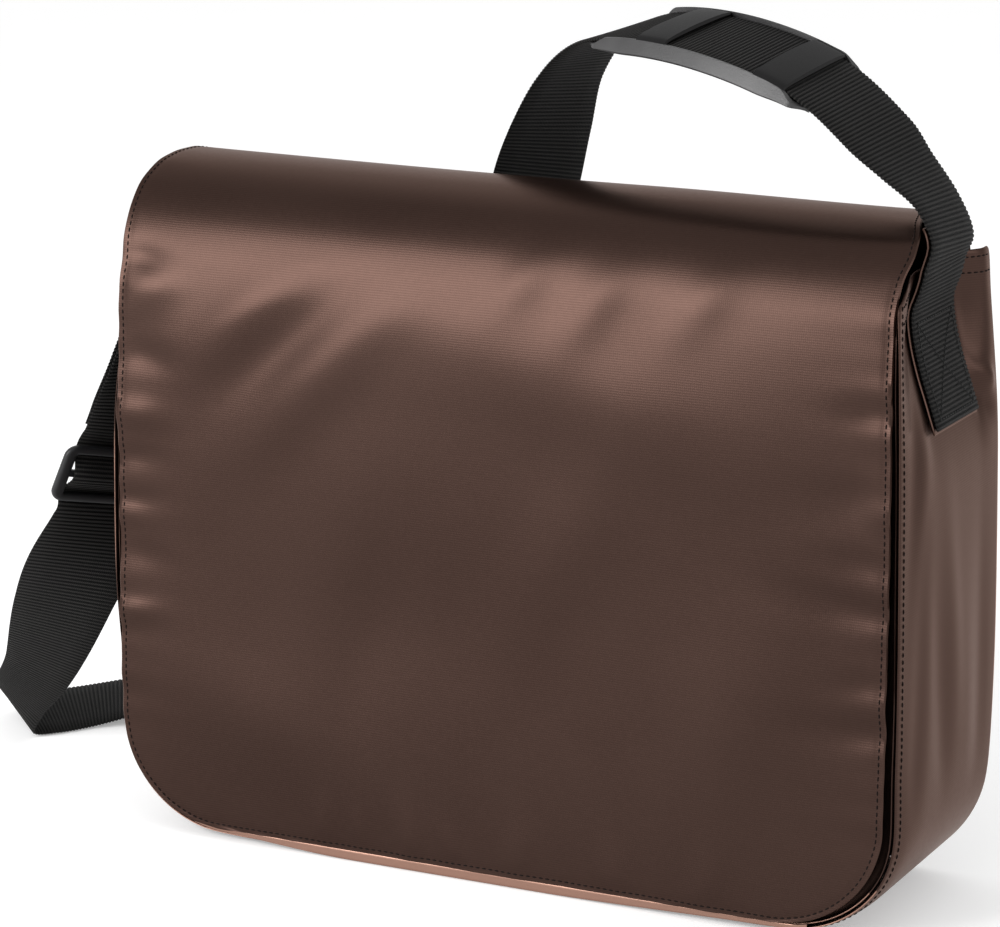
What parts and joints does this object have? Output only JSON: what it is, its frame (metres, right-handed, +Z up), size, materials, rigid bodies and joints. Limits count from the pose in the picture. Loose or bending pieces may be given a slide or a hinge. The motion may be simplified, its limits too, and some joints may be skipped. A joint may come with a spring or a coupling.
{
  "type": "shoulder bag",
  "caption": "Soft coated-cloth shoulder bag with a large rounded flap, open ends, and a wide black webbing strap with a moulded shoulder pad and a slide adjuster.",
  "frame": {"origin": "on the floor under the middle of the bag's bottom", "axes": "+Z up, +X to the bag's right seen from the front, -Y towards the front where the flap hangs"},
  "size_m": [0.5312, 0.206, 0.3802],
  "materials": {
    "cloth": "semi-gloss coated tarpaulin with a fine ribbed grain",
    "webbing": "matte ribbed webbing",
    "pad": "satin moulded rubber",
    "slide": "satin moulded plastic"
  },
  "bodies": {
    "root": {"front_panel": "cloth", "back_panel": "cloth", "gusset": "cloth", "flap": "cloth", "strap_backing_right": "cloth", "strap_backing_left": "cloth", "strap": "webbing", "strap_tail": "webbing", "shoulder_pad": "pad", "slide_adjuster": "slide"}
  },
  "joints": []
}
